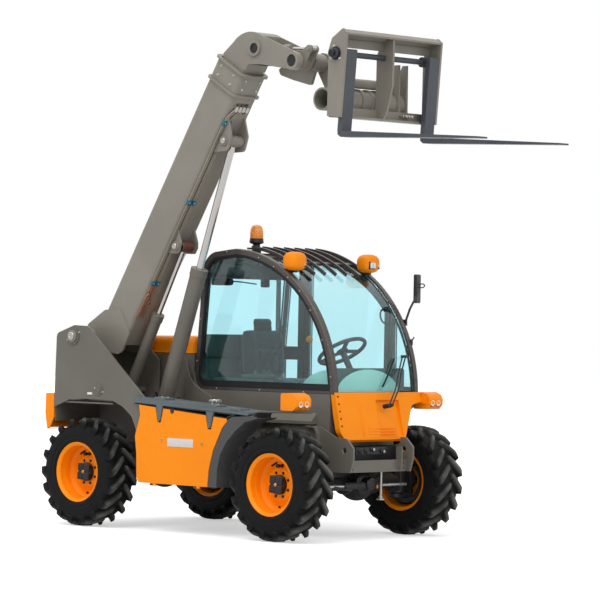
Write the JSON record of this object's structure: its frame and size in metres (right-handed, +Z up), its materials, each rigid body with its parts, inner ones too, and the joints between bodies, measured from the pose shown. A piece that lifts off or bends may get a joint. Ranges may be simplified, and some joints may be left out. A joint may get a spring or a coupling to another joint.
{
  "type": "telehandler",
  "caption": "Compact telehandler with an offset telescopic boom, pallet forks, glazed cab, four steered wheels, opening door, hood and side cover.",
  "frame": {"origin": "on the ground at the centre of the bounding box, midway between the rear tyres and the fork tips, on the centre plane of the wheels", "axes": "+X forward, +Y to the left of the machine, +Z up"},
  "size_m": [3.7964, 1.608, 3.4924],
  "materials": {
    "amber": "amber lens",
    "arch_plastic": "moulded",
    "black_paint": "satin black",
    "black_plastic": "moulded",
    "cast_engine": "cast",
    "chair_cloth": "woven cover",
    "charcoal_frame": "satin charcoal",
    "chrome_rod": "ground and plated",
    "fork_steel": "dark slate",
    "glass": "tinted",
    "orange_paint": "gloss paint",
    "orange_plastic": "moulded",
    "slate_plastic": "textured moulding",
    "tyre": "tyre rubber",
    "warm_grey_paint": "satin paint"
  },
  "bodies": {
    "machine": {"beacon": "amber", "boom_pivot_pin": "warm_grey_paint", "boom_tower": "warm_grey_paint", "cab_frame": "charcoal_frame", "cab_roof": "charcoal_frame", "cab_tub": "warm_grey_paint", "chair_backrest": "chair_cloth", "chair_base": "black_plastic", "chair_cushion": "chair_cloth", "chassis_frame": "black_paint", "dash_console": "black_plastic", "engine_block": "cast_engine", "engine_cowl": "warm_grey_paint", "front_axle": "black_paint", "front_bumper": "warm_grey_paint", "front_mudguards": "arch_plastic", "front_panel": "orange_paint", "fuel_tank": "black_plastic", "headlights": "orange_plastic", "mirror": "black_plastic", "quarter_window": "glass", "rear_axle": "black_paint", "rear_mudguard": "warm_grey_paint", "rear_window": "glass", "right_window": "glass", "roof_guard": "charcoal_frame", "side_box": "arch_plastic", "side_shelf": "slate_plastic", "steering_wheel": "black_plastic", "tail_panel": "orange_paint", "windscreen": "glass", "work_lights": "orange_plastic"},
    "boom_arm": {"boom_outer": "warm_grey_paint"},
    "boom_extension": {"boom_inner": "warm_grey_paint"},
    "carriage": {"tilt_hitch": "warm_grey_paint", "fork_carriage": "warm_grey_paint", "fork_shaft": "fork_steel", "forks": "fork_steel"},
    "lift_barrel": {"lift_cylinder_barrel": "warm_grey_paint"},
    "lift_rod": {"lift_cylinder_rod": "chrome_rod"},
    "level_barrel": {"level_cylinder_barrel": "warm_grey_paint"},
    "level_rod": {"level_cylinder_rod": "chrome_rod"},
    "tilt_barrel": {"tilt_cylinder_barrel": "warm_grey_paint"},
    "tilt_rod": {"tilt_cylinder_rod": "chrome_rod"},
    "door": {"cab_door": "charcoal_frame", "door_glass": "glass"},
    "hood": {"engine_hood": "orange_paint"},
    "cover": {"side_cover": "orange_paint"},
    "front_left_steer": {"front_left_knuckle": "black_paint"},
    "front_left_wheel": {"front_left_rim": "orange_paint", "front_left_tyre": "tyre"},
    "front_right_steer": {"front_right_knuckle": "black_paint"},
    "front_right_wheel": {"front_right_rim": "orange_paint", "front_right_tyre": "tyre"},
    "rear_left_steer": {"rear_left_knuckle": "black_paint"},
    "rear_left_wheel": {"rear_left_rim": "orange_paint", "rear_left_tyre": "tyre"},
    "rear_right_steer": {"rear_right_knuckle": "black_paint"},
    "rear_right_wheel": {"rear_right_rim": "orange_paint", "rear_right_tyre": "tyre"}
  },
  "joints": [
    {"name": "boom_lift", "type": "hinge", "parent": "machine", "child": "boom_arm", "pos_m": [-1.608, -0.46, 1.359], "axis": [0, 1, 0], "range_deg": [0, 63]},
    {"name": "boom_extend", "type": "slide", "parent": "boom_arm", "child": "boom_extension", "axis": [0.518, 0, 0.8554], "range_m": [0, 1.15]},
    {"name": "carriage_tilt", "type": "hinge", "parent": "boom_extension", "child": "carriage", "pos_m": [0.316, -0.46, 3.276], "axis": [0, -1, 0], "range_deg": [-25, 80]},
    {"name": "lift_swing", "type": "hinge", "parent": "machine", "child": "lift_barrel", "pos_m": [-1.0025, -0.46, 0.8], "axis": [0, 1, 0], "range_deg": [0, 69.02]},
    {"name": "lift_stroke", "type": "slide", "parent": "lift_barrel", "child": "lift_rod", "axis": [0.325, 0, 0.9457], "range_m": [-0.84969, 0.002]},
    {"name": "level_swing", "type": "hinge", "parent": "machine", "child": "level_barrel", "pos_m": [-1.332, -0.46, 0.979], "axis": [0, 1, 0], "range_deg": [0, 67.2]},
    {"name": "level_stroke", "type": "slide", "parent": "level_barrel", "child": "level_rod", "axis": [0.4633, 0, 0.8862], "range_m": [-0.48944, 0.002]},
    {"name": "tilt_swing", "type": "hinge", "parent": "boom_extension", "child": "tilt_barrel", "pos_m": [-0.043, -0.46, 3.376], "axis": [0, 1, 0], "range_deg": [-6.1, 2.25]},
    {"name": "tilt_stroke", "type": "slide", "parent": "tilt_barrel", "child": "tilt_rod", "axis": [0.9993, 0, -0.0382], "range_m": [-0.146, 0.047]},
    {"name": "front_left_steering", "type": "hinge", "parent": "machine", "child": "front_left_steer", "pos_m": [0.3865, 0.52, 0.388], "axis": [0, 0, 1], "range_deg": [-25, 25]},
    {"name": "front_left_spin", "type": "hinge", "parent": "front_left_steer", "child": "front_left_wheel", "pos_m": [0.3865, 0.6715, 0.388], "axis": [0, 1, 0], "continuous": true},
    {"name": "front_right_steering", "type": "hinge", "parent": "machine", "child": "front_right_steer", "pos_m": [0.3865, -0.52, 0.388], "axis": [0, 0, 1], "range_deg": [-25.5, 25.5]},
    {"name": "front_right_spin", "type": "hinge", "parent": "front_right_steer", "child": "front_right_wheel", "pos_m": [0.3865, -0.6715, 0.388], "axis": [0, 1, 0], "continuous": true},
    {"name": "rear_left_steering", "type": "hinge", "parent": "machine", "child": "rear_left_steer", "pos_m": [-1.5105, 0.52, 0.388], "axis": [0, 0, 1], "range_deg": [-25, 25]},
    {"name": "rear_left_spin", "type": "hinge", "parent": "rear_left_steer", "child": "rear_left_wheel", "pos_m": [-1.5105, 0.6715, 0.388], "axis": [0, 1, 0], "continuous": true},
    {"name": "rear_right_steering", "type": "hinge", "parent": "machine", "child": "rear_right_steer", "pos_m": [-1.5105, -0.52, 0.388], "axis": [0, 0, 1], "range_deg": [-25.5, 25.5]},
    {"name": "rear_right_spin", "type": "hinge", "parent": "rear_right_steer", "child": "rear_right_wheel", "pos_m": [-1.5105, -0.6715, 0.388], "axis": [0, 1, 0], "continuous": true},
    {"name": "door_hinge", "type": "hinge", "parent": "machine", "child": "door", "pos_m": [-0.566, 0.609, 1.2], "axis": [0, 0, 1], "range_deg": [0, 100]},
    {"name": "hood_hinge", "type": "hinge", "parent": "machine", "child": "hood", "pos_m": [-1.801, 0.209, 1.253], "axis": [0, -1, 0], "range_deg": [0, 60]},
    {"name": "cover_hinge", "type": "hinge", "parent": "machine", "child": "cover", "pos_m": [-0.52, -0.792, 0.336], "axis": [1, 0, 0], "range_deg": [0, 90]}
  ],
  "couplings": [
    {"joint": "lift_swing", "follows": "boom_lift", "ratio": 1.0876},
    {"joint": "lift_stroke", "follows": "boom_lift", "m_per_rad": -0.77094},
    {"joint": "level_swing", "follows": "boom_lift", "ratio": 1.0588},
    {"joint": "level_stroke", "follows": "boom_lift", "m_per_rad": -0.44331},
    {"joint": "tilt_swing", "follows": "carriage_tilt", "ratio": -0.07},
    {"joint": "tilt_stroke", "follows": "carriage_tilt", "m_per_rad": -0.10313},
    {"joint": "front_right_steering", "follows": "front_left_steering", "ratio": 1},
    {"joint": "rear_right_steering", "follows": "rear_left_steering", "ratio": 1}
  ]
}
